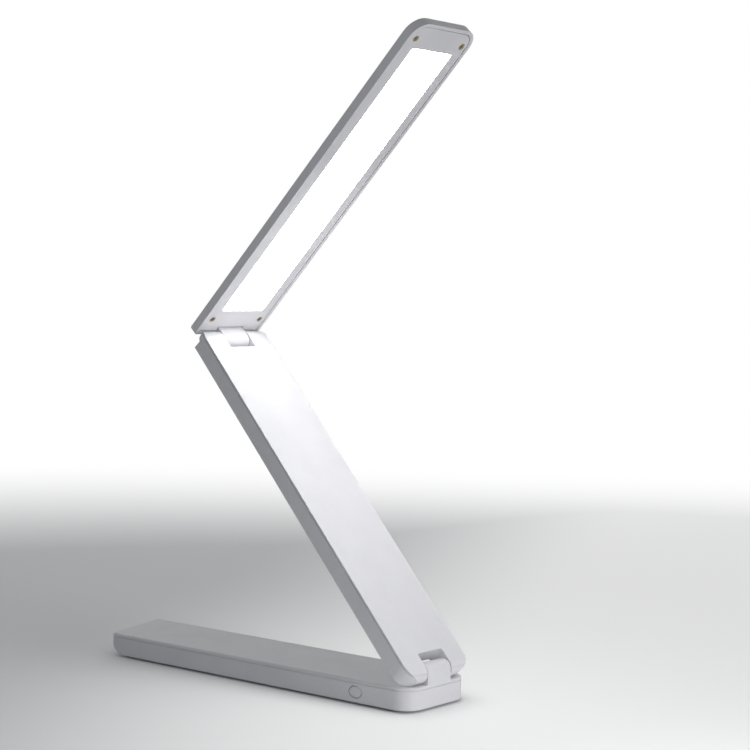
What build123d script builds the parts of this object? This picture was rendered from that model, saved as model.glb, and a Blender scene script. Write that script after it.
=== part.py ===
from build123d import *
import os
from math import acos, cos, hypot, radians, sin

# A battery-powered folding reading lamp: three flat bars (base, arm, light head) joined by two
# friction hinges. Lengths are millimetres. The origin is under the middle of the base, on the
# surface that it stands on; +X runs along the base to its hinge end, +Y to the far side, +Z up.

# ---- driving dimensions -------------------------------------------------------------------------
body_width = 45.0            # all three bars
base_height = 10.8           # case and lid, without the feet
arm_span = 198.3             # lower hinge axis to upper hinge axis
arm_thickness = 9.3
head_reach = 199.6           # upper hinge axis to the head's far end
head_thickness = 4.8
arm_opening = 48.6           # degrees between base and arm
head_opening = 94.1          # degrees between arm and head

# ---- outline and edges --------------------------------------------------------------------------
base_corner = 9.0            # plan corners at the base's hinge end
base_tip_corner = 1.5        # far corner of the slanted free end
base_near_corner = 3.5       # near corner of the slanted free end
end_slant = 12.9             # the free end runs out this much further on the far side
head_corner = 9.0
arm_lower_corner = 9.0
arm_upper_corner = 6.5
head_heel_corner = 1.2       # plan corners at the head's hinge end
base_end_rise = 7.0          # rounding under the base's free end
base_end_turn = 80.0         # degrees that the rounding sweeps, up to the end face
lid_edge_round = 1.0
base_bottom_round = 0.5
arm_back_round = 0.5
arm_front_round = 0.8
head_back_round = 0.8

# ---- walls and clearances -----------------------------------------------------------------------
base_wall = 1.6
base_floor = 1.4
lid_thickness = 1.45
lid_lip = 0.8
arm_wall = 1.6
arm_floor = 1.4
arm_cover = 0.9
head_rim = 1.9
head_back = 1.1
frame_plate = 1.2
frame_recess = 0.2
groove_height = 0.35         # reveal along each parting line
groove_depth = 0.35
fold_gap = 0.25              # between two bars that lie folded together
loose_fit = 0.15             # between a piece and the opening it drops into
frame_gap = 0.3              # round the front frame
frame_heel_gap = 0.7         # between the front frame and the rim at the hinge
neck_gap = 0.6               # between the front frame and the knuckle
slide_fit = 0.05             # round moving or threaded pieces
seat_fit = 0.01              # round a pin that is held fast
lip_fit = 0.1

# ---- hinges -------------------------------------------------------------------------------------
pin_radius = 1.25
pin_side_wall = 6.5          # solid left outside either end of a pin
pin_chamfer = 0.2
knuckle_half = 8.5           # half width of either central knuckle
notch_gap = 1.0              # round a knuckle's corner, where the notch ends
notch_corner = 1.0
washer_radius = 3.2
washer_thickness = 0.4
upper_boss_wall = 1.25       # round the upper pin, where the lobe is cut back
upper_boss_side = 3.5        # from the arm's long side to that wall
knuckle_setback = 0.15       # barrel's surface inside the lobes' round
foot_ledge = 3.0             # knuckle foot inside the head, beyond the neck
foot_shoulder = 3.5          # knuckle foot beyond the knuckle, to either side

# ---- fasteners ----------------------------------------------------------------------------------
screw_radius = 0.8
screw_head_radius = 1.9
screw_head_height = 1.2
screw_sink = 0.7             # head below the surface
post_end_wall = 0.75         # solid left beyond a screw's hole
screw_hole = 1.1
screw_pocket = 2.1
post_radius = 2.2
boss_radius = 3.2
boss_height = 1.8
cross_share = 0.55           # cross recess, as a share of the screw head's width
cross_width = 0.5
cross_depth = 0.35
base_screw_left = 10.5       # from the free end's near corner
base_screw_right = 12.0      # from the hinge end
base_screw_margin = 7.5      # from the long side
arm_screw_inset = 30.0       # from either hinge axis
arm_screw_margin = 8.5

# ---- head fittings ------------------------------------------------------------------------------
window_screw_gap = 3.8       # between the near screw posts and the lit window
window_far_band = 14.2       # frame beyond the window, to the head's far end
window_side_band = 7.9       # from the head's long side to the window
window_corner = 1.2
head_screw_near = 10.2       # from the hinge axis
head_screw_far = 9.0         # from the far end
head_screw_margin = 5.5      # from the long side
head_screw_radius = 0.7
head_screw_head = 1.4
head_screw_height = 0.6
head_screw_pocket = 1.7
head_screw_sink = 0.8
head_post_radius = 2.4
head_screw_end = 0.65        # below a screw's tip, to the end of its hole
reflector_thickness = 0.25
diffuser_flange = 0.45
flange_overlap = 0.8
diffuser_recess = 0.1
strip_thickness = 0.8
strip_gap = 0.45             # between the strip and the frame
chip_count = 28
chip_length = 2.8
chip_margin = 0.4            # of the guide's edge, left free above the chips
chip_thickness = 0.7

# ---- base fittings ------------------------------------------------------------------------------
feet_height = 1.0
foot_radius = 5.0
foot_recess = 0.5
foot_left = 24.0             # from the free end's near corner
foot_right = 28.0            # from the hinge end
foot_margin = 9.5            # from the long side
button_from_end = 32.0
button_half_length = 3.7
button_gap = 0.3             # round the button, in its hole
button_edge_round = 0.4
button_travel = 0.5
flange_extra_length = 1.0
flange_extra_height = 0.75   # the flange fills the side between floor and lid
flange_thickness = 0.9
nose_radius = 1.2
nose_length = 1.8
plunger_radius = 0.8
plunger_length = 2.6
plunger_free = 1.1           # plunger outside the switch
switch_length = 6.0
switch_depth = 3.5
switch_wall = 0.4            # round the plunger, above and below
board_left = 62.0            # board's left edge, from the base's hinge end
board_length = 46.0
board_margin = 5.0           # from the long sides
board_thickness = 1.0
standoff_radius = 1.8
standoff_inset = 3.0
cell_margin = 5.5            # from the long sides
cell_headroom = 1.45         # below the lid
cell_screw_gap = 5.65        # from the screw bosses at the free end
cell_board_gap = 27.85       # room for the leads
cell_edge_round = 1.5
socket_width = 7.5
socket_height = 2.6
socket_length = 6.3
socket_shell = 0.35
socket_from_end = 50.0
socket_setback = 0.4         # mouth behind the case's outer face
lead_radius = 0.6
lead_pitch = 2.0
hinge_lead_radius = 1.0
hinge_lead_bend = 3.0
lead_entry = 1.2             # how far the lead goes up into the knuckle
ribbon_width = 6.0
ribbon_thickness = 0.5
head_ribbon_width = 1.4

# ---- places worked out from the dimensions ------------------------------------------------------
arm_half = arm_thickness / 2
face_offset = arm_half + fold_gap            # a folded face's distance from the hinge axis
barrel_radius = arm_half - knuckle_setback
bore_radius = pin_radius + slide_fit
held_bore = pin_radius + seat_fit
pin_half_length = body_width / 2 - pin_side_wall
upper_boss = pin_radius + upper_boss_wall
notch_depth = hypot(barrel_radius, face_offset) + notch_gap
foot_reach = barrel_radius + foot_ledge
foot_half = knuckle_half + foot_shoulder
notch_half = knuckle_half + washer_thickness + 2 * slide_fit

# The base's near side is as long as the arm between its axes; the far side runs out further.
base_length = arm_span + end_slant
case_bottom = feet_height
case_floor = case_bottom + base_floor
base_top = case_bottom + base_height
lid_bottom = base_top - lid_thickness
base_end = base_length / 2
near_end = end_slant - base_end              # free end at the near side
case_half = body_width / 2
base_screw_side = case_half - base_screw_margin
foot_side = case_half - foot_margin
arm_screw_side = case_half - arm_screw_margin
head_screw_side = case_half - head_screw_margin
window_half = case_half - window_side_band
window_start = head_screw_near + head_post_radius + window_screw_gap
window_end = head_reach - window_far_band

arm_angle = radians(arm_opening)
head_angle = radians(head_opening - arm_opening)
arm_dir = Vector(-cos(arm_angle), 0, sin(arm_angle))
arm_out = Vector(sin(arm_angle), 0, cos(arm_angle))
head_dir = Vector(cos(head_angle), 0, sin(head_angle))
lit_dir = Vector(sin(head_angle), 0, -cos(head_angle))
lower_axis = Vector(base_end - arm_half, 0, base_top + face_offset)
upper_axis = lower_axis + arm_dir * arm_span

# Flat planes look onto a bar's front; side planes have their normal along +Y, with the bar's
# length as x and its front direction as y.
base_side = Plane.XZ
arm_flat = Plane(origin=lower_axis, x_dir=arm_dir, z_dir=arm_out)
arm_side = Plane(origin=lower_axis, x_dir=arm_dir, z_dir=(0, 1, 0))
head_flat = Plane(origin=upper_axis, x_dir=head_dir, z_dir=lit_dir)
head_side = Plane(origin=upper_axis, x_dir=head_dir, z_dir=(0, 1, 0))

arm_back = -arm_half
arm_split = arm_half - arm_cover
arm_cavity = notch_depth + arm_wall          # end of the hollow, from either axis
lit_face = -face_offset
head_rear = lit_face - head_thickness
head_floor = head_rear + head_back
frame_front = lit_face - frame_recess
frame_rear = frame_front - frame_plate
guide_rear = head_floor + reflector_thickness
guide_front = frame_rear - diffuser_flange
window_middle = (window_start + window_end) / 2
window_length = window_end - window_start

base_screw_spots = [
    (x, side * base_screw_side)
    for x in (near_end + base_screw_left, base_end - base_screw_right)
    for side in (-1, 1)
]
foot_spots = [
    (x, side * foot_side) for x in (near_end + foot_left, base_end - foot_right) for side in (-1, 1)
]
arm_screw_spots = [
    (x, side * arm_screw_side)
    for x in (arm_screw_inset, arm_span - arm_screw_inset)
    for side in (-1, 1)
]
head_screw_spots = [
    (x, side * head_screw_side)
    for x in (head_screw_near, head_reach - head_screw_far)
    for side in (-1, 1)
]

os.makedirs("parts", exist_ok=True)


# ---- shared shapes ------------------------------------------------------------------------------
def base_plan(inset):
    """Face of the base's plan drawn in by inset: round hinge end, slanted free end."""
    side = case_half - inset
    end_run = inset * hypot(end_slant, body_width) / body_width      # the inset, along the base
    tip = end_run + inset * end_slant / body_width - base_end
    near = near_end + end_run - inset * end_slant / body_width
    with BuildSketch() as plan:
        with BuildLine():
            Polyline(
                (near, -side), (base_end - inset, -side), (base_end - inset, side), (tip, side),
                close=True,
            )
        make_face()
        fillet(plan.vertices().group_by(Axis.X)[-1], base_corner - inset)
        free = plan.vertices().sort_by(Axis.X)
        fillet(free[0], max(base_tip_corner - inset, base_tip_corner / 4))
        free = plan.vertices().filter_by_position(Axis.X, near - 0.1, near + 0.1)
        fillet(free, base_near_corner - inset)
    return plan.sketch


def base_slab(inset, bottom, top):
    """The base's plan drawn in by inset, with its free end rounded underneath."""
    turn = radians(base_end_turn)
    radius = base_end_rise / (1 - cos(turn)) - inset
    end_side = Plane(
        origin=((near_end - base_end) / 2, 0, 0), x_dir=(body_width, end_slant, 0),
        z_dir=(end_slant, -body_width, 0),
    )
    with BuildPart() as slab:
        with BuildSketch(Plane.XY.offset(bottom)):
            add(base_plan(inset))
        extrude(amount=top - bottom)
        with BuildSketch(end_side):
            with BuildLine():
                round_end = Vector(inset + radius * sin(turn), bottom)
                CenterArc(round_end + Vector(0, radius), radius, 270, -base_end_turn)
                Polyline(
                    (inset, bottom + radius * (1 - cos(turn))), (inset, top),
                    (2 * base_length, top), (2 * base_length, bottom), round_end,
                )
            make_face()
        extrude(amount=base_length, both=True, mode=Mode.INTERSECT)
    return slab.part


def arm_plan(inset):
    """Face of the arm's plan drawn in by inset: rounder corners at the lower hinge."""
    with BuildSketch() as plan:
        with Locations((arm_span / 2, 0)):
            Rectangle(arm_span + arm_thickness - 2 * inset, body_width - 2 * inset)
        fillet(plan.vertices().group_by(Axis.X)[0], arm_lower_corner - inset)
        fillet(plan.vertices().group_by(Axis.X)[-1], arm_upper_corner - inset)
    return plan.sketch


def arm_bar():
    """The arm's outer form: round lower lobes, upper lobes cut back behind the pin."""
    section = Plane(origin=lower_axis - arm_dir * arm_half, x_dir=(0, 1, 0), z_dir=arm_dir)
    with BuildPart() as bar:
        with BuildSketch(section) as outline:
            Rectangle(body_width, arm_thickness)
            fillet(outline.vertices().group_by(Axis.Y)[0], arm_front_round)
            fillet(outline.vertices().group_by(Axis.Y)[-1], arm_back_round)
        extrude(amount=arm_span + arm_thickness)
        with BuildSketch(arm_flat.offset(arm_back)):
            add(arm_plan(0))
        extrude(amount=arm_thickness, mode=Mode.INTERSECT)
        with BuildSketch(arm_side):
            with BuildLine():
                Polyline((0, -arm_half), (arm_span, -arm_half), (arm_span, 0), (arm_span + arm_half, 0))
                CenterArc((arm_span, 0), arm_half, 0, 90)
                Line((arm_span, arm_half), (0, arm_half))
                CenterArc((0, 0), arm_half, 90, 180)
            make_face()
        extrude(amount=body_width, both=True, mode=Mode.INTERSECT)
        with BuildSketch(arm_side):
            with Locations((arm_span, 0)):
                Circle(upper_boss)
        extrude(amount=body_width / 2 - upper_boss_side, both=True)
        with BuildSketch(arm_flat.offset(arm_back)) as notches:
            with Locations((0, 0), (arm_span, 0)):
                Rectangle(2 * notch_depth, 2 * notch_half)
            inner = notches.vertices().filter_by_position(Axis.X, arm_half, arm_span - arm_half)
            fillet(inner, notch_corner)
        extrude(amount=arm_thickness, mode=Mode.SUBTRACT)
        with BuildSketch(arm_side):
            with Locations((0, 0), (arm_span, 0)):
                Circle(held_bore)
        extrude(amount=pin_half_length, both=True, mode=Mode.SUBTRACT)
    return bar.part


def head_plan(inset):
    """Face of the head's plan drawn in by inset: round far corners, tighter ones at the hinge."""
    length = head_reach - 2 * inset
    with BuildSketch() as plan:
        with Locations((head_reach / 2, 0)):
            Rectangle(length, body_width - 2 * inset)
        ends = plan.vertices().group_by(Axis.X)
        fillet(ends[0], max(head_heel_corner - inset, head_heel_corner / 4))
        far = plan.vertices().group_by(Axis.X)[-1]
        fillet(far, head_corner - inset)
    return plan.sketch


def screw_group(seat, spots, radius, head_radius, head_height, length):
    """Pan-head screws seated on a plane, their heads along its normal."""
    with BuildPart() as screws:
        with BuildSketch(seat):
            with Locations(*spots):
                Circle(head_radius)
        extrude(amount=head_height)
        tops = screws.edges().group_by(Axis(seat.origin, seat.z_dir))[-1]
        fillet(tops, head_height / 3)
        with BuildSketch(seat):
            with Locations(*spots):
                Circle(radius)
        extrude(amount=-length)
        with BuildSketch(seat.offset(head_height)):
            with Locations(*spots):
                Rectangle(2 * head_radius * cross_share, cross_width)
                Rectangle(cross_width, 2 * head_radius * cross_share)
        extrude(amount=-cross_depth, mode=Mode.SUBTRACT)
    return screws.part


def hinge_pin(side_plane):
    """Plain steel pin, blind in both lobes."""
    with BuildPart() as pin:
        with BuildSketch(side_plane):
            Circle(pin_radius)
        extrude(amount=pin_half_length - lip_fit, both=True)
        chamfer(pin.edges().filter_by(GeomType.CIRCLE), pin_chamfer)
    return pin.part


def friction_washers(side_plane):
    """One washer on each side of a knuckle."""
    middle = (knuckle_half + notch_half) / 2
    with BuildPart() as washers:
        for side in (-1, 1):
            with BuildSketch(side_plane.offset(side * middle)):
                Circle(washer_radius)
                Circle(pin_radius + slide_fit, mode=Mode.SUBTRACT)
            extrude(amount=washer_thickness / 2, both=True)
    return washers.part


# ---- base ---------------------------------------------------------------------------------------
screw_seat = case_bottom + screw_sink + screw_head_height
boss_top = case_floor + boss_height
screw_bite = lid_bottom - boss_top - post_end_wall
side_room = (lid_bottom - lid_lip - case_floor) / 2
button_height = case_floor + side_room
flange_half_height = side_room - loose_fit
button_half_height = flange_half_height - flange_extra_height
button_x = base_end - button_from_end
board_x = base_end - board_left
board_half = case_half - board_margin
board_top = button_height - plunger_radius - switch_wall
board_bottom = board_top - board_thickness
switch_height = 2 * (plunger_radius + switch_wall)
socket_x = base_end - socket_from_end
socket_height_mid = board_top + socket_height / 2
hinge_lead_height = board_top + hinge_lead_radius + lip_fit
standoff_spots = [
    (x, side * (board_half - standoff_inset))
    for x in (board_x + standoff_inset, board_x + board_length - standoff_inset)
    for side in (-1, 1)
]
near_wall = Plane(origin=(button_x, -case_half, button_height), x_dir=(1, 0, 0), z_dir=(0, -1, 0))
far_wall = Plane(origin=(socket_x, case_half, socket_height_mid), x_dir=(-1, 0, 0), z_dir=(0, 1, 0))

case_form = base_slab(0, case_bottom, lid_bottom)
case_hollow = base_slab(base_wall, case_floor, lid_bottom)

with BuildPart() as base_lower_case:
    add(case_form)
    underside = base_lower_case.faces().sort_by(Axis.Z)[0]
    straight = underside.edges().filter_by(Axis.X)
    fillet(straight, base_bottom_round)
    add(case_hollow, mode=Mode.SUBTRACT)
    # reveal below the lid
    with BuildSketch(Plane.XY.offset(lid_bottom)):
        add(base_plan(0))
        add(base_plan(groove_depth), mode=Mode.SUBTRACT)
    extrude(amount=-groove_height, mode=Mode.SUBTRACT)
    # screw bosses with pockets from below, board standoffs, foot seats
    with BuildSketch(Plane.XY.offset(case_floor)):
        with Locations(*base_screw_spots):
            Circle(boss_radius)
    extrude(amount=boss_height)
    with BuildSketch(Plane.XY.offset(case_floor)):
        with Locations(*standoff_spots):
            Circle(standoff_radius)
    extrude(amount=board_bottom - case_floor)
    with BuildSketch(Plane.XY.offset(case_bottom)):
        with Locations(*base_screw_spots):
            Circle(screw_pocket)
    extrude(amount=screw_seat - case_bottom, mode=Mode.SUBTRACT)
    with BuildSketch(Plane.XY.offset(screw_seat)):
        with Locations(*base_screw_spots):
            Circle(screw_hole)
    extrude(amount=boss_top - screw_seat, mode=Mode.SUBTRACT)
    with BuildSketch(Plane.XY.offset(case_bottom)):
        with Locations(*foot_spots):
            Circle(foot_radius)
    extrude(amount=foot_recess, mode=Mode.SUBTRACT)
    # button hole in the near side, socket mouth in the far side
    with BuildSketch(near_wall):
        Ellipse(button_half_length + button_gap, button_half_height + button_gap)
    extrude(amount=-base_wall, mode=Mode.SUBTRACT)
    with BuildSketch(far_wall):
        RectangleRounded(socket_width + 2 * loose_fit, socket_height + 2 * loose_fit, socket_height / 4)
    extrude(amount=-base_wall, mode=Mode.SUBTRACT)
base_lower_case.part.label = "base_lower_case"
export_step(base_lower_case.part, "parts/base_lower_case.step")

with BuildPart() as base_top_cover:
    with BuildSketch(Plane.XY.offset(lid_bottom)):
        add(base_plan(0))
    extrude(amount=lid_thickness)
    fillet(base_top_cover.faces().sort_by(Axis.Z)[-1].edges(), lid_edge_round)
    # lip inside the walls
    lip_inset = base_wall + lip_fit
    with BuildSketch(Plane.XY.offset(lid_bottom)):
        add(base_plan(lip_inset))
        add(base_plan(lip_inset + base_wall / 2), mode=Mode.SUBTRACT)
    extrude(amount=-lid_lip)
    # screw posts
    with BuildSketch(Plane.XY.offset(boss_top)):
        with Locations(*base_screw_spots):
            Circle(post_radius)
    extrude(amount=lid_bottom - boss_top)
    # knuckle, its end face flush with the base's
    with BuildSketch(base_side):
        with Locations((lower_axis.X, lower_axis.Z)):
            Circle(barrel_radius)
        with Locations((lower_axis.X, (lid_bottom + lower_axis.Z) / 2)):
            Rectangle(2 * barrel_radius, lower_axis.Z - lid_bottom)
    extrude(amount=knuckle_half, both=True)
    with BuildSketch(base_side):
        with Locations((lower_axis.X, lower_axis.Z)):
            Circle(bore_radius)
    extrude(amount=body_width / 2, both=True, mode=Mode.SUBTRACT)
    # way up into the knuckle for the lead
    with BuildSketch(Plane.XY.offset(lid_bottom)):
        with Locations((lower_axis.X, 0)):
            Circle(hinge_lead_radius + lip_fit)
    extrude(amount=lid_thickness + lead_entry, mode=Mode.SUBTRACT)
    with BuildSketch(Plane.XY.offset(boss_top)):
        with Locations(*base_screw_spots):
            Circle(screw_radius + slide_fit)
    extrude(amount=screw_bite, mode=Mode.SUBTRACT)
base_top_cover.part.label = "base_top_cover"
export_step(base_top_cover.part, "parts/base_top_cover.step")

with BuildPart() as base_feet:
    with BuildSketch(Plane.XY):
        with Locations(*foot_spots):
            Circle(foot_radius - loose_fit)
    extrude(amount=feet_height + foot_recess)
    fillet(base_feet.edges().group_by(Axis.Z)[0], foot_recess / 2)
base_feet.part.label = "base_feet"
export_step(base_feet.part, "parts/base_feet.step")

base_screw_plane = Plane(origin=(0, 0, screw_seat), x_dir=(1, 0, 0), z_dir=(0, 0, -1))
base_screw_length = boss_top - screw_seat + screw_bite - lip_fit
with BuildPart() as base_screws:
    add(
        screw_group(
            base_screw_plane, base_screw_spots, screw_radius, screw_head_radius, screw_head_height,
            base_screw_length,
        )
    )
base_screws.part.label = "base_screws"
export_step(base_screws.part, "parts/base_screws.step")

cell_start = near_end + base_screw_left + boss_radius + cell_screw_gap
cell_end = board_x - cell_board_gap
with BuildPart() as battery_cell:
    with BuildSketch(Plane.XY.offset(case_floor)):
        with Locations(((cell_start + cell_end) / 2, 0)):
            Rectangle(cell_end - cell_start, body_width - 2 * cell_margin)
    extrude(amount=lid_bottom - case_floor - cell_headroom)
    fillet(battery_cell.edges().filter_by(Axis.X), cell_edge_round)
battery_cell.part.label = "battery_cell"
export_step(battery_cell.part, "parts/battery_cell.step")

with BuildPart() as control_board:
    with BuildSketch(Plane.XY.offset(board_bottom)):
        with Locations((board_x + board_length / 2, 0)):
            Rectangle(board_length, 2 * board_half)
    extrude(amount=board_thickness)
control_board.part.label = "control_board"
export_step(control_board.part, "parts/control_board.step")

# Board parts: x from the board's left edge, y, length, width, height.
board_items = {
    "battery_plug": (3.0, 0.0, 5.0, 6.0, 3.6),
    "charger_chip": (18.0, 6.0, 5.0, 4.0, 1.2),
    "coil": (28.0, 6.0, 6.0, 6.0, 3.0),
    "driver_chip": (20.0, -6.0, 4.0, 4.0, 1.0),
    "lamp_plug": (board_length - 3.0, 0.0, 5.0, 5.0, 3.6),
}
with BuildPart() as board_parts:
    for x, y, length, width, height in board_items.values():
        with BuildSketch(Plane.XY.offset(board_top)):
            with Locations((board_x + x, y)):
                Rectangle(length, width)
        extrude(amount=height)
board_parts.part.label = "board_parts"
export_step(board_parts.part, "parts/board_parts.step")

battery_plug = board_items["battery_plug"]
lead_height = board_top + battery_plug[4] / 2
lead_end = board_x + battery_plug[0] - battery_plug[2] / 2
with BuildPart() as battery_leads:
    with BuildSketch(Plane(origin=(cell_end, 0, lead_height), x_dir=(0, 1, 0), z_dir=(1, 0, 0))):
        with Locations((-lead_pitch / 2, 0), (lead_pitch / 2, 0)):
            Circle(lead_radius)
    extrude(amount=lead_end - cell_end)
battery_leads.part.label = "battery_leads"
export_step(battery_leads.part, "parts/battery_leads.step")

lamp_plug = board_items["lamp_plug"]
base_lead_start = board_x + lamp_plug[0] + lamp_plug[2] / 2
with BuildPart() as base_lead:
    with BuildLine(base_side) as lead_route:
        FilletPolyline(
            (base_lead_start, hinge_lead_height),
            (lower_axis.X, hinge_lead_height),
            (lower_axis.X, base_top + lead_entry),
            radius=hinge_lead_bend,
        )
    with BuildSketch(Plane(origin=(base_lead_start, 0, hinge_lead_height), z_dir=(1, 0, 0))):
        Circle(hinge_lead_radius)
    sweep(path=lead_route.line)
base_lead.part.label = "base_lead"
export_step(base_lead.part, "parts/base_lead.step")

with BuildPart() as charging_socket:
    with BuildSketch(far_wall.offset(-socket_setback)):
        RectangleRounded(socket_width, socket_height, socket_height / 5)
    extrude(amount=-socket_length)
    with BuildSketch(far_wall.offset(-socket_setback)):
        RectangleRounded(
            socket_width - 2 * socket_shell, socket_height - 2 * socket_shell, socket_height / 8
        )
    extrude(amount=-(socket_length - 2 * socket_shell), mode=Mode.SUBTRACT)
    with BuildSketch(far_wall.offset(-socket_setback - socket_length + socket_shell)):
        Rectangle(socket_width / 2, socket_height / 5)
    extrude(amount=socket_length - 4 * socket_shell)
charging_socket.part.label = "charging_socket"
export_step(charging_socket.part, "parts/charging_socket.step")

# ---- button and its switch ----------------------------------------------------------------------
inner_wall = near_wall.offset(-base_wall - slide_fit)
nose_start = inner_wall.offset(-flange_thickness)
plunger_start = nose_start.offset(-nose_length)
switch_front = plunger_start.offset(-plunger_free)
switch_bore = plunger_length - plunger_free + button_travel + lip_fit

with BuildPart() as power_button:
    with BuildSketch(near_wall):
        Ellipse(button_half_length, button_half_height)
    extrude(amount=-(base_wall + slide_fit))
    fillet(power_button.edges().group_by(Axis.Y)[0], button_edge_round)
    with BuildSketch(inner_wall):
        Ellipse(button_half_length + flange_extra_length, flange_half_height)
    extrude(amount=-flange_thickness)
    with BuildSketch(nose_start):
        Circle(nose_radius)
    extrude(amount=-nose_length)
power_button.part.label = "power_button"
export_step(power_button.part, "parts/power_button.step")

with BuildPart() as switch_plunger:
    with BuildSketch(plunger_start):
        Circle(plunger_radius)
    extrude(amount=-plunger_length)
switch_plunger.part.label = "switch_plunger"
export_step(switch_plunger.part, "parts/switch_plunger.step")

with BuildPart() as switch_body:
    with BuildSketch(Plane.XY.offset(board_top)):
        with Locations((button_x, switch_front.origin.Y + switch_depth / 2)):
            Rectangle(switch_length, switch_depth)
    extrude(amount=switch_height)
    with BuildSketch(switch_front):
        Circle(plunger_radius + slide_fit)
    extrude(amount=-switch_bore, mode=Mode.SUBTRACT)
switch_body.part.label = "switch_body"
export_step(switch_body.part, "parts/switch_body.step")

# ---- arm ----------------------------------------------------------------------------------------
arm_form = arm_bar()
arm_boss_top = arm_back + arm_floor + boss_height / 2
arm_seat = arm_back + screw_sink + screw_head_height
arm_bite = arm_split - arm_boss_top - lip_fit
hollow_length = arm_span - 2 * arm_cavity
ribbon_level = arm_back + arm_floor

with BuildPart() as arm_rear_shell:
    add(arm_form)
    split(bisect_by=arm_flat.offset(arm_split), keep=Keep.BOTTOM)
    with BuildSketch(arm_flat.offset(arm_split)):
        with Locations((arm_span / 2, 0)):
            Rectangle(hollow_length, body_width - 2 * arm_wall)
    extrude(amount=-(arm_split - arm_back - arm_floor), mode=Mode.SUBTRACT)
    # reveal along the cover's edge
    with BuildSketch(arm_flat.offset(arm_split)):
        add(arm_plan(0))
        add(arm_plan(groove_depth), mode=Mode.SUBTRACT)
    extrude(amount=-groove_height, mode=Mode.SUBTRACT)
    # screw bosses with pockets from the back
    with BuildSketch(arm_flat.offset(arm_back + arm_floor)):
        with Locations(*arm_screw_spots):
            Circle(boss_radius)
    extrude(amount=arm_boss_top - arm_back - arm_floor)
    with BuildSketch(arm_flat.offset(arm_back)):
        with Locations(*arm_screw_spots):
            Circle(screw_pocket)
    extrude(amount=arm_seat - arm_back, mode=Mode.SUBTRACT)
    with BuildSketch(arm_flat.offset(arm_seat)):
        with Locations(*arm_screw_spots):
            Circle(screw_hole)
    extrude(amount=arm_boss_top - arm_seat, mode=Mode.SUBTRACT)
    # slots for the ribbon through both end walls
    with BuildSketch(arm_flat.offset(ribbon_level)):
        with Locations((arm_span / 2, 0)):
            Rectangle(arm_span - 2 * notch_depth, ribbon_width + 2 * lip_fit)
    extrude(amount=ribbon_thickness + lip_fit, mode=Mode.SUBTRACT)
arm_rear_shell.part.label = "arm_rear_shell"
export_step(arm_rear_shell.part, "parts/arm_rear_shell.step")

with BuildPart() as arm_front_cover:
    add(arm_form)
    split(bisect_by=arm_flat.offset(arm_split), keep=Keep.TOP)
    with BuildSketch(arm_flat.offset(arm_boss_top)):
        with Locations(*arm_screw_spots):
            Circle(post_radius)
    extrude(amount=arm_split - arm_boss_top)
    with BuildSketch(arm_flat.offset(arm_boss_top)):
        with Locations(*arm_screw_spots):
            Circle(screw_radius + slide_fit)
    extrude(amount=arm_bite, mode=Mode.SUBTRACT)
arm_front_cover.part.label = "arm_front_cover"
export_step(arm_front_cover.part, "parts/arm_front_cover.step")

arm_screw_plane = Plane(origin=lower_axis + arm_out * arm_seat, x_dir=arm_dir, z_dir=arm_out * -1)
arm_screw_length = arm_boss_top - arm_seat + arm_bite - lip_fit
with BuildPart() as arm_screws:
    add(
        screw_group(
            arm_screw_plane, arm_screw_spots, screw_radius, screw_head_radius, screw_head_height,
            arm_screw_length,
        )
    )
arm_screws.part.label = "arm_screws"
export_step(arm_screws.part, "parts/arm_screws.step")

with BuildPart() as arm_lead:
    with BuildSketch(arm_flat.offset(ribbon_level)):
        with Locations((arm_span / 2, 0)):
            Rectangle(arm_span - 2 * notch_depth - 2 * lip_fit, ribbon_width)
    extrude(amount=ribbon_thickness)
arm_lead.part.label = "arm_lead"
export_step(arm_lead.part, "parts/arm_lead.step")

with BuildPart() as lower_hinge_pin:
    add(hinge_pin(arm_side))
lower_hinge_pin.part.label = "lower_hinge_pin"
export_step(lower_hinge_pin.part, "parts/lower_hinge_pin.step")

with BuildPart() as upper_hinge_pin:
    add(hinge_pin(head_side))
upper_hinge_pin.part.label = "upper_hinge_pin"
export_step(upper_hinge_pin.part, "parts/upper_hinge_pin.step")

with BuildPart() as lower_friction_washers:
    add(friction_washers(arm_side))
lower_friction_washers.part.label = "lower_friction_washers"
export_step(lower_friction_washers.part, "parts/lower_friction_washers.step")

with BuildPart() as upper_friction_washers:
    add(friction_washers(head_side))
upper_friction_washers.part.label = "upper_friction_washers"
export_step(upper_friction_washers.part, "parts/upper_friction_washers.step")

# ---- head ---------------------------------------------------------------------------------------
head_outline = head_plan(0)
head_hollow = head_plan(head_rim)
frame_outline = head_plan(head_rim + frame_gap)
frame_start = head_rim + frame_gap
neck_end = barrel_radius + neck_gap
foot_start = head_rim + loose_fit
head_seat = frame_front - head_screw_sink
head_screw_bottom = head_floor + slide_fit
head_screw_length = head_seat - head_screw_bottom - head_screw_end

with BuildPart() as head_housing:
    with BuildSketch(head_flat.offset(head_rear)):
        add(head_outline)
    extrude(amount=head_thickness)
    back = head_housing.faces().sort_by(Axis(upper_axis, lit_dir))[0]
    fillet(back.edges(), head_back_round)
    with BuildSketch(head_flat.offset(head_floor)):
        add(head_hollow)
    extrude(amount=lit_face - head_floor, mode=Mode.SUBTRACT)
    with BuildSketch(head_flat.offset(head_floor)):
        with Locations(*head_screw_spots):
            Circle(head_post_radius)
    extrude(amount=frame_rear - head_floor)
    with BuildSketch(head_flat.offset(head_screw_bottom)):
        with Locations(*head_screw_spots):
            Circle(head_screw_radius + slide_fit)
    extrude(amount=frame_rear - head_screw_bottom, mode=Mode.SUBTRACT)
head_housing.part.label = "head_housing"
export_step(head_housing.part, "parts/head_housing.step")

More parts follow.
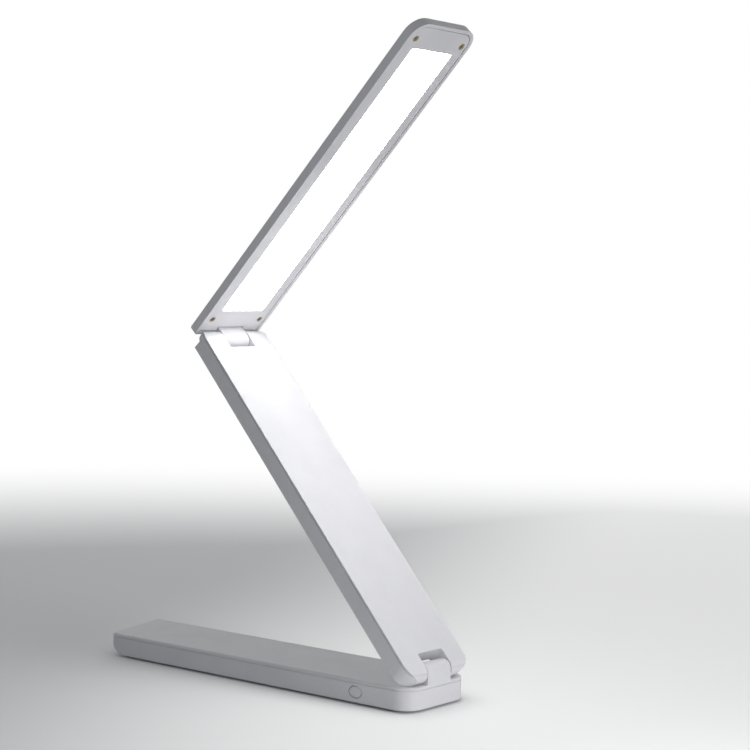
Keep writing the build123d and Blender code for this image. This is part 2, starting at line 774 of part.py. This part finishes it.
with BuildPart() as head_front_frame:
    with BuildSketch(head_flat.offset(frame_rear)):
        add(frame_outline)
        with Locations((window_middle, 0)):
            RectangleRounded(window_length, 2 * window_half, window_corner, mode=Mode.SUBTRACT)
        with Locations(((frame_start + neck_end) / 2, 0)):
            Rectangle(neck_end - frame_start, 2 * (knuckle_half + frame_gap), mode=Mode.SUBTRACT)
        with Locations(((frame_start + head_rim + frame_heel_gap) / 2, 0)):
            Rectangle(frame_heel_gap - frame_gap, body_width, mode=Mode.SUBTRACT)
    extrude(amount=frame_plate)
    with BuildSketch(head_flat.offset(frame_front)):
        with Locations(*head_screw_spots):
            Circle(head_screw_pocket)
    extrude(amount=-head_screw_sink, mode=Mode.SUBTRACT)
    with BuildSketch(head_flat.offset(frame_rear)):
        with Locations(*head_screw_spots):
            Circle(head_screw_radius + lip_fit)
    extrude(amount=frame_plate, mode=Mode.SUBTRACT)
head_front_frame.part.label = "head_front_frame"
export_step(head_front_frame.part, "parts/head_front_frame.step")

# The barrel meets the lit face along a line tangent to it, from the head's end face.
tangent_turn = acos(barrel_radius / face_offset)
tangent_point = (-barrel_radius * sin(tangent_turn), -barrel_radius * cos(tangent_turn))
with BuildPart() as head_knuckle:
    with BuildSketch(head_side):
        Circle(barrel_radius)
        with BuildLine():
            Polyline(
                (0, 0), (barrel_radius, 0), (barrel_radius, lit_face), (0, lit_face), tangent_point,
                close=True,
            )
        make_face()
    extrude(amount=knuckle_half, both=True)
    with BuildSketch(head_side):
        with Locations(((foot_start + barrel_radius) / 2, (lit_face + frame_rear) / 2)):
            Rectangle(barrel_radius - foot_start, lit_face - frame_rear)
    extrude(amount=knuckle_half, both=True)
    with BuildSketch(head_side):
        foot_top = frame_rear - slide_fit
        with Locations(((foot_start + foot_reach) / 2, (foot_top + head_floor) / 2)):
            Rectangle(foot_reach - foot_start, foot_top - head_floor)
    extrude(amount=foot_half, both=True)
    with BuildSketch(head_side):
        with Locations(((foot_start + barrel_radius) / 2, frame_rear)):
            Rectangle(barrel_radius - foot_start, 2 * slide_fit)
    extrude(amount=knuckle_half, both=True)
    with BuildSketch(head_side):
        Circle(bore_radius)
    extrude(amount=body_width / 2, both=True, mode=Mode.SUBTRACT)
head_knuckle.part.label = "head_knuckle"
export_step(head_knuckle.part, "parts/head_knuckle.step")

with BuildPart() as head_reflector:
    with BuildSketch(head_flat.offset(head_floor)):
        with Locations((window_middle, 0)):
            Rectangle(window_length + 2 * flange_overlap, 2 * (window_half + flange_overlap))
    extrude(amount=reflector_thickness)
head_reflector.part.label = "head_reflector"
export_step(head_reflector.part, "parts/head_reflector.step")

with BuildPart() as head_light_guide:
    with BuildSketch(head_flat.offset(guide_rear)):
        with Locations((window_middle, 0)):
            Rectangle(window_length + 2 * flange_overlap, 2 * (window_half + flange_overlap))
    extrude(amount=guide_front - guide_rear)
head_light_guide.part.label = "head_light_guide"
export_step(head_light_guide.part, "parts/head_light_guide.step")

with BuildPart() as head_diffuser:
    with BuildSketch(head_flat.offset(guide_front)):
        with Locations((window_middle, 0)):
            Rectangle(window_length + 2 * flange_overlap, 2 * (window_half + flange_overlap))
    extrude(amount=frame_rear - guide_front)
    with BuildSketch(head_flat.offset(frame_rear)):
        with Locations((window_middle, 0)):
            RectangleRounded(
                window_length - 2 * loose_fit, 2 * (window_half - loose_fit), window_corner - loose_fit
            )
    extrude(amount=frame_plate - diffuser_recess)
head_diffuser.part.label = "head_diffuser"
export_step(head_diffuser.part, "parts/head_diffuser.step")

# The light strip stands along the guide's far long edge.
strip_inner = window_half + flange_overlap + chip_thickness
strip_level = head_floor + slide_fit
chip_pitch = window_length / chip_count
with BuildPart() as led_board:
    with BuildSketch(head_flat.offset(strip_level)):
        with Locations((window_middle, -strip_inner - strip_thickness / 2)):
            Rectangle(window_length, strip_thickness)
    extrude(amount=frame_rear - strip_gap - strip_level)
led_board.part.label = "led_board"
export_step(led_board.part, "parts/led_board.step")

with BuildPart() as led_chips:
    with BuildSketch(head_flat.offset(guide_rear)):
        with Locations((window_middle, -strip_inner + (chip_thickness - slide_fit) / 2)):
            with GridLocations(chip_pitch, 1, chip_count, 1):
                Rectangle(chip_length, chip_thickness - slide_fit)
    extrude(amount=guide_front - guide_rear - chip_margin)
led_chips.part.label = "led_chips"
export_step(led_chips.part, "parts/led_chips.step")

with BuildPart() as head_screws:
    add(
        screw_group(
            head_flat.offset(head_seat), head_screw_spots, head_screw_radius, head_screw_head,
            head_screw_height, head_screw_length,
        )
    )
head_screws.part.label = "head_screws"
export_step(head_screws.part, "parts/head_screws.step")

# Flat lead from the knuckle's foot round the near screw post to the end of the light strip.
ribbon_turn = window_start - flange_overlap - head_ribbon_width / 2 - lip_fit
ribbon_end = ribbon_turn + head_ribbon_width / 2
strip_middle = strip_inner + strip_thickness / 2
with BuildPart() as head_lead:
    with BuildSketch(head_flat.offset(head_floor)):
        with Locations(((foot_reach + ribbon_end) / 2, -knuckle_half)):
            Rectangle(ribbon_end - foot_reach, head_ribbon_width)
        with Locations((ribbon_turn, -(knuckle_half + strip_middle) / 2)):
            Rectangle(head_ribbon_width, strip_middle - knuckle_half + head_ribbon_width)
    extrude(amount=ribbon_thickness)
head_lead.part.label = "head_lead"
export_step(head_lead.part, "parts/head_lead.step")
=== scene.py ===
import math
import bmesh
import bpy
from mathutils import Matrix, Vector

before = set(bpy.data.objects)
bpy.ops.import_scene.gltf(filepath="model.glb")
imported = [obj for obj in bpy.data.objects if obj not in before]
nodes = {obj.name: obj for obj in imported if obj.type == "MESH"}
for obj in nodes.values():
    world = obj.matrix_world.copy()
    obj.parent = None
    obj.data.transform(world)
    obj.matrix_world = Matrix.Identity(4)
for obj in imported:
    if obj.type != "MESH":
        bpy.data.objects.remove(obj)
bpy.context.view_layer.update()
scene = bpy.context.scene
scene.view_settings.view_transform = "Standard"

MM = 0.001
WHITE = (1.0, 1.0, 1.0)
BLACK = (0.0, 0.0, 0.0)

# ---- camera -------------------------------------------------------------------------------------
CAMERA_PLACE = Vector((0.61285, -0.6622, 0.19315))
CAMERA_YAW = math.radians(-39.63)
CAMERA_PITCH = math.radians(-2.74)
CAMERA_ROLL = math.radians(-0.75)
SENSOR = 36.0
IMAGE_SIDE = 750.0
FOCAL_PIXELS = 1823.55
NEAREST_SEEN = 0.01


def make_camera():
    forward = Vector((
        math.cos(CAMERA_PITCH) * math.sin(CAMERA_YAW),
        math.cos(CAMERA_PITCH) * math.cos(CAMERA_YAW),
        math.sin(CAMERA_PITCH),
    ))
    level = Vector((math.cos(CAMERA_YAW), -math.sin(CAMERA_YAW), 0.0))
    down = forward.cross(level)
    right = level * math.cos(CAMERA_ROLL) + down * math.sin(CAMERA_ROLL)
    down = down * math.cos(CAMERA_ROLL) - level * math.sin(CAMERA_ROLL)
    turn = Matrix((right, -down, -forward)).transposed().to_4x4()
    data = bpy.data.cameras.new("camera")
    data.sensor_width = SENSOR
    data.sensor_fit = "HORIZONTAL"
    data.lens = FOCAL_PIXELS / IMAGE_SIDE * SENSOR
    data.clip_start = NEAREST_SEEN
    camera = bpy.data.objects.new("camera", data)
    camera.matrix_world = Matrix.Translation(CAMERA_PLACE) @ turn
    scene.collection.objects.link(camera)
    scene.camera = camera


make_camera()

# ---- node helpers -------------------------------------------------------------------------------
NOISE_LOW, NOISE_HIGH = 0.3, 0.7     # where most of a noise texture's values lie


def new_material(name):
    material = bpy.data.materials.new(name)
    material.use_nodes = True
    tree = material.node_tree
    tree.nodes.clear()
    output = tree.nodes.new("ShaderNodeOutputMaterial")
    place = tree.nodes.new("ShaderNodeTexCoord").outputs["Object"]
    shader = tree.nodes.new("ShaderNodeBsdfPrincipled")
    tree.links.new(shader.outputs["BSDF"], output.inputs["Surface"])
    return material, tree, place, shader, output


def noise(tree, place, scale, detail=2.0, roughness=0.5):
    node = tree.nodes.new("ShaderNodeTexNoise")
    node.inputs["Scale"].default_value = scale
    node.inputs["Detail"].default_value = detail
    node.inputs["Roughness"].default_value = roughness
    tree.links.new(place, node.inputs["Vector"])
    return node.outputs["Fac"]


def ramp(tree, source, low, high, first, last, interpolation="LINEAR"):
    """A value spread from first to last as source goes from low to high."""
    node = tree.nodes.new("ShaderNodeMapRange")
    node.interpolation_type = interpolation
    node.inputs["From Min"].default_value = low
    node.inputs["From Max"].default_value = high
    node.inputs["To Min"].default_value = first
    node.inputs["To Max"].default_value = last
    tree.links.new(source, node.inputs["Value"])
    return node.outputs["Result"]


def combine(tree, operation, first, second):
    node = tree.nodes.new("ShaderNodeMath")
    node.operation = operation
    tree.links.new(first, node.inputs[0])
    tree.links.new(second, node.inputs[1])
    return node.outputs[0]


def blend_colour(tree, factor, first, second):
    node = tree.nodes.new("ShaderNodeMix")
    node.data_type = "RGBA"
    for socket, value in (("A", first), ("B", second)):
        target = [s for s in node.inputs if s.name == socket and s.type == "RGBA"][0]
        target.default_value = (*value, 1.0)
    tree.links.new(factor, node.inputs["Factor"])
    return [s for s in node.outputs if s.type == "RGBA"][0]


def blend_shader(tree, factor, first, second):
    node = tree.nodes.new("ShaderNodeMixShader")
    tree.links.new(factor, node.inputs["Fac"])
    tree.links.new(first, node.inputs[1])
    tree.links.new(second, node.inputs[2])
    return node.outputs["Shader"]


def bump(tree, height, distance, strength, under=None):
    node = tree.nodes.new("ShaderNodeBump")
    node.inputs["Strength"].default_value = strength
    node.inputs["Distance"].default_value = distance
    tree.links.new(height, node.inputs["Height"])
    if under is not None:
        tree.links.new(under, node.inputs["Normal"])
    return node.outputs["Normal"]


def seen_ray(tree):
    """One for rays from the camera, or seen in gloss or through glass."""
    path = tree.nodes.new("ShaderNodeLightPath")
    total = path.outputs["Is Camera Ray"]
    for name in ("Is Glossy Ray", "Is Transmission Ray"):
        total = combine(tree, "MAXIMUM", total, path.outputs[name])
    return total


# ---- materials ----------------------------------------------------------------------------------
CLOUD_SCALE = 45.0
PATCH_SCALE = 160.0
PATCH_SPREAD = 0.05
SOFT_EDGE = 0.25 * MM
SOFT_EDGE_SAMPLES = 4
GRAIN_STRENGTH = 0.6
MOTTLE_SCALE = 900.0
MOTTLE_LOW, MOTTLE_HIGH = 0.35, 0.65
SCRATCH_SMOOTHER, SCRATCH_ROUGHER = 0.08, 0.12
FINE_DEPTH = 0.02 * MM
FINE_STRENGTH = 0.5
MASK_ROUGHNESS = 0.3
TRACK_SCALE = 140.0
TRACK_WIDTH = 0.03
WINDOW_HALF = 14.6 * MM
PANEL_ROUGHNESS = 0.35
PANEL_SLOPE = 0.1
SPECK_SCALE = 700.0
SPECK_SPREAD = 0.03
COOL_SIDE = (0.97, 0.985, 1.0)
WARM_SIDE = (1.0, 1.0, 0.98)


def plastic(name, colour, worn, roughness, grain_scale, grain_depth):
    """Moulded plastic: spark-eroded grain, faint cloudy colour, soft edges."""
    material, tree, place, shader, _ = new_material(name)
    cloud = noise(tree, place, CLOUD_SCALE, detail=3.0, roughness=0.55)
    tint = ramp(tree, cloud, NOISE_LOW, NOISE_HIGH, 0.0, 1.0)
    tree.links.new(blend_colour(tree, tint, colour, worn), shader.inputs["Base Color"])
    patch = noise(tree, place, PATCH_SCALE, detail=4.0, roughness=0.6)
    smooth, rough = roughness - PATCH_SPREAD, roughness + PATCH_SPREAD
    sheen = ramp(tree, patch, NOISE_LOW, NOISE_HIGH, smooth, rough)
    tree.links.new(sheen, shader.inputs["Roughness"])
    soft = tree.nodes.new("ShaderNodeBevel")
    soft.samples = SOFT_EDGE_SAMPLES
    soft.inputs["Radius"].default_value = SOFT_EDGE
    grain = noise(tree, place, grain_scale, detail=3.0, roughness=0.6)
    normal = bump(tree, grain, grain_depth, GRAIN_STRENGTH, soft.outputs["Normal"])
    tree.links.new(normal, shader.inputs["Normal"])
    return material


def metal(name, colour, dark, roughness, scratch_scale):
    """Metal with mottled colour and fine scratches."""
    material, tree, place, shader, _ = new_material(name)
    shader.inputs["Metallic"].default_value = 1.0
    spots = noise(tree, place, MOTTLE_SCALE, detail=4.0, roughness=0.6)
    mottle = ramp(tree, spots, MOTTLE_LOW, MOTTLE_HIGH, 0.0, 1.0)
    tree.links.new(blend_colour(tree, mottle, colour, dark), shader.inputs["Base Color"])
    scratch = noise(tree, place, scratch_scale, detail=5.0, roughness=0.7)
    smooth, rough = roughness - SCRATCH_SMOOTHER, roughness + SCRATCH_ROUGHER
    sheen = ramp(tree, scratch, NOISE_LOW, NOISE_HIGH, smooth, rough)
    tree.links.new(sheen, shader.inputs["Roughness"])
    tree.links.new(bump(tree, scratch, FINE_DEPTH, FINE_STRENGTH), shader.inputs["Normal"])
    return material


def board(name, mask, track):
    """Solder mask over copper tracks that show through as lighter lines."""
    material, tree, place, shader, _ = new_material(name)
    shader.inputs["Roughness"].default_value = MASK_ROUGHNESS
    tracks = tree.nodes.new("ShaderNodeTexBrick")
    for socket, colour in (("Color1", BLACK), ("Color2", BLACK), ("Mortar", WHITE)):
        tracks.inputs[socket].default_value = (*colour, 1.0)
    tracks.inputs["Scale"].default_value = TRACK_SCALE
    tracks.inputs["Mortar Size"].default_value = TRACK_WIDTH
    tree.links.new(place, tracks.inputs["Vector"])
    lines = tracks.outputs["Color"]
    tree.links.new(blend_colour(tree, lines, mask, track), shader.inputs["Base Color"])
    tree.links.new(bump(tree, lines, FINE_DEPTH, FINE_STRENGTH), shader.inputs["Normal"])
    return material


def lit_panel(name, colour, strength):
    """Opal diffuser, a little brighter and cooler towards -Y."""
    material, tree, place, shader, _ = new_material(name)
    shader.inputs["Base Color"].default_value = (*colour, 1.0)
    shader.inputs["Roughness"].default_value = PANEL_ROUGHNESS
    split = tree.nodes.new("ShaderNodeSeparateXYZ")
    tree.links.new(place, split.inputs["Vector"])
    across = split.outputs["Y"]
    most, least = strength * (1.0 + PANEL_SLOPE), strength * (1.0 - PANEL_SLOPE)
    fall = ramp(tree, across, -WINDOW_HALF, WINDOW_HALF, most, least)
    dots = noise(tree, place, SPECK_SCALE)
    speck = ramp(tree, dots, NOISE_LOW, NOISE_HIGH, 1.0 - SPECK_SPREAD, 1.0 + SPECK_SPREAD)
    tint = ramp(tree, across, -WINDOW_HALF, WINDOW_HALF, 0.0, 1.0)
    glow = blend_colour(tree, tint, COOL_SIDE, WARM_SIDE)
    tree.links.new(glow, shader.inputs["Emission Color"])
    tree.links.new(combine(tree, "MULTIPLY", fall, speck), shader.inputs["Emission Strength"])
    return material


CASE = plastic("case_plastic", (0.74, 0.735, 0.76), (0.70, 0.695, 0.72), 0.42, 4500.0, 0.03 * MM)
BUTTON = plastic("button_plastic", (0.74, 0.74, 0.76), (0.70, 0.70, 0.72), 0.36, 6000.0, 0.01 * MM)
RUBBER = plastic("foot_rubber", (0.025, 0.025, 0.026), (0.04, 0.04, 0.04), 0.8, 2500.0, 0.05 * MM)
STEEL = metal("screw_steel", (0.55, 0.55, 0.56), (0.42, 0.42, 0.44), 0.32, 2500.0)
BRASS = metal("screw_brass", (0.42, 0.33, 0.16), (0.25, 0.19, 0.09), 0.35, 2500.0)
DARK = plastic("dark_parts", (0.03, 0.03, 0.033), (0.05, 0.05, 0.052), 0.5, 3000.0, 0.01 * MM)
BOARD = board("board_mask", (0.02, 0.16, 0.06), (0.05, 0.28, 0.11))
WIRE = plastic("wire_sleeve", (0.6, 0.05, 0.04), (0.5, 0.04, 0.03), 0.4, 3000.0, 0.01 * MM)
CELL = metal("cell_foil", (0.62, 0.63, 0.66), (0.5, 0.51, 0.54), 0.4, 1200.0)
FILM = plastic("white_film", (0.88, 0.88, 0.88), (0.84, 0.84, 0.85), 0.25, 800.0, 0.004 * MM)
PHOSPHOR = plastic("chip_phosphor", (0.85, 0.66, 0.12), (0.78, 0.58, 0.10), 0.45, 5000.0, 0.01 * MM)
PLUNGER = plastic("plunger_red", (0.55, 0.04, 0.03), (0.48, 0.03, 0.025), 0.4, 3000.0, 0.01 * MM)
NICKEL = metal("socket_nickel", (0.66, 0.65, 0.62), (0.55, 0.54, 0.52), 0.22, 3200.0)
PIN = metal("ground_pin", (0.60, 0.60, 0.61), (0.50, 0.50, 0.51), 0.18, 5200.0)
RIBBON = plastic("ribbon_sleeve", (0.75, 0.75, 0.72), (0.68, 0.68, 0.65), 0.35, 3000.0, 0.01 * MM)
GUIDE = plastic("clear_guide", (0.82, 0.88, 0.90), (0.78, 0.84, 0.87), 0.08, 900.0, 0.002 * MM)
PANEL = lit_panel("opal_lit", (0.9, 0.9, 0.9), strength=8.0)

# Pieces that are not named here are the moulded case.
finish_of = {
    "base_feet": RUBBER,
    "base_screws": STEEL,
    "arm_screws": STEEL,
    "head_screws": BRASS,
    "lower_hinge_pin": PIN,
    "upper_hinge_pin": PIN,
    "lower_friction_washers": STEEL,
    "upper_friction_washers": STEEL,
    "charging_socket": NICKEL,
    "battery_cell": CELL,
    "battery_leads": WIRE,
    "base_lead": WIRE,
    "arm_lead": RIBBON,
    "head_lead": RIBBON,
    "control_board": BOARD,
    "led_board": BOARD,
    "board_parts": DARK,
    "switch_body": DARK,
    "switch_plunger": PLUNGER,
    "power_button": BUTTON,
    "head_diffuser": PANEL,
    "head_light_guide": GUIDE,
    "head_reflector": FILM,
    "led_chips": PHOSPHOR,
}
for name, node in nodes.items():
    node.data.materials.clear()
    node.data.materials.append(finish_of.get(name, CASE))

# ---- floor, world and lights --------------------------------------------------------------------
FLOOR_RADIUS = 6.0
FLOOR_SEGMENTS = 96
FLOOR_ROUGHNESS = 0.75
FLOOR_TONE_SCALE = 3.0
FLOOR_PALE, FLOOR_PALER = (0.84, 0.84, 0.84), (0.86, 0.86, 0.86)
FADE_START, FADE_END = 0.25, 1.1             # distance from the lamp where the floor turns white
BRIGHT_WAY = (0.9, 0.44, 0.0)                # painted light: seen from the camera, the floor is painted lighter in this direction
BRIGHT_START, BRIGHT_END = -0.14, 0.12
BRIGHT_LEAST, BRIGHT_MOST = 0.14, 0.62
SHADOW_REACH = 0.022
SHADOW_SAMPLES = 12
SHADOW_DARK, SHADOW_GONE = 0.45, 0.97
SKY_COLOUR = (0.9, 0.94, 1.0)
SKY_STRENGTH = 0.185


def make_floor():
    mesh = bpy.data.meshes.new("floor")
    build = bmesh.new()
    bmesh.ops.create_circle(build, cap_ends=True, radius=FLOOR_RADIUS, segments=FLOOR_SEGMENTS)
    build.to_mesh(mesh)
    build.free()
    floor = bpy.data.objects.new("floor", mesh)
    scene.collection.objects.link(floor)
    material, tree, place, paper, output = new_material("floor_paper")
    paper.inputs["Roughness"].default_value = FLOOR_ROUGHNESS
    tone = ramp(tree, noise(tree, place, FLOOR_TONE_SCALE), NOISE_LOW, NOISE_HIGH, 0.0, 1.0)
    pale = blend_colour(tree, tone, FLOOR_PALE, FLOOR_PALER)
    tree.links.new(pale, paper.inputs["Base Color"])
    white = tree.nodes.new("ShaderNodeEmission")
    white.inputs["Color"].default_value = (*WHITE, 1.0)
    length = tree.nodes.new("ShaderNodeVectorMath")
    length.operation = "LENGTH"
    tree.links.new(place, length.inputs[0])
    fade = ramp(tree, length.outputs["Value"], FADE_START, FADE_END, 0.0, 1.0, "SMOOTHSTEP")
    # Painted light and shade: for camera rays the floor is mixed towards white along BRIGHT_WAY, so
    # it is painted lighter on that side and darker on the other.
    across = tree.nodes.new("ShaderNodeVectorMath")
    across.operation = "DOT_PRODUCT"
    tree.links.new(place, across.inputs[0])
    across.inputs[1].default_value = BRIGHT_WAY
    painted_light_side = ramp(
        tree, across.outputs["Value"], BRIGHT_START, BRIGHT_END,
        BRIGHT_LEAST, BRIGHT_MOST, "SMOOTHSTEP",
    )
    # The lamp's contact shadow stays dark.
    open_air = tree.nodes.new("ShaderNodeAmbientOcclusion")
    open_air.samples = SHADOW_SAMPLES
    open_air.inputs["Distance"].default_value = SHADOW_REACH
    lifted = ramp(tree, open_air.outputs["AO"], SHADOW_DARK, SHADOW_GONE, 0.0, 1.0)
    share = combine(tree, "MULTIPLY", combine(tree, "MAXIMUM", fade, painted_light_side), lifted)
    share = combine(tree, "MULTIPLY", share, seen_ray(tree))
    mix = blend_shader(tree, share, paper.outputs["BSDF"], white.outputs["Emission"])
    tree.links.new(mix, output.inputs["Surface"])
    mesh.materials.append(material)


def background(tree, colour, strength):
    node = tree.nodes.new("ShaderNodeBackground")
    node.inputs["Color"].default_value = (*colour, 1.0)
    node.inputs["Strength"].default_value = strength
    return node.outputs["Background"]


def make_world():
    """A dim cool sky gives the light, and plain white is what is seen."""
    world = bpy.data.worlds.new("world")
    scene.world = world
    world.use_nodes = True
    tree = world.node_tree
    tree.nodes.clear()
    output = tree.nodes.new("ShaderNodeOutputWorld")
    sky = background(tree, SKY_COLOUR, SKY_STRENGTH)
    mix = blend_shader(tree, seen_ray(tree), sky, background(tree, WHITE, 1.0))
    tree.links.new(mix, output.inputs["Surface"])


def area_light(name, place, target, size, power, mirrored=True):
    data = bpy.data.lights.new(name, "AREA")
    data.shape = "DISK"
    data.size = size
    data.energy = power
    light = bpy.data.objects.new(name, data)
    direction = Vector(target) - Vector(place)
    light.matrix_world = (
        Matrix.Translation(place) @ direction.to_track_quat("-Z", "Y").to_matrix().to_4x4()
    )
    light.visible_camera = False
    light.visible_glossy = mirrored
    scene.collection.objects.link(light)


make_floor()
make_world()
area_light(
    "low_right", place=(0.33, -0.03, 0.08), target=(0.05, 0.0, 0.21), size=0.14, power=0.34
)
area_light(
    "front_fill", place=(0.40, -0.70, 0.08), target=(0.12, 0.0, 0.02), size=0.30, power=0.5
)
area_light(
    "back_fill", place=(-0.6, 1.0, 0.3), target=(0.0, 0.0, 0.12), size=0.60, power=2.2,
    mirrored=False,
)
# The lamp's own light on its arm, from in front of the lit window.
area_light("beam", place=(0.115, 0.0, 0.185), target=(0.02, 0.0, 0.095), size=0.05, power=0.062)
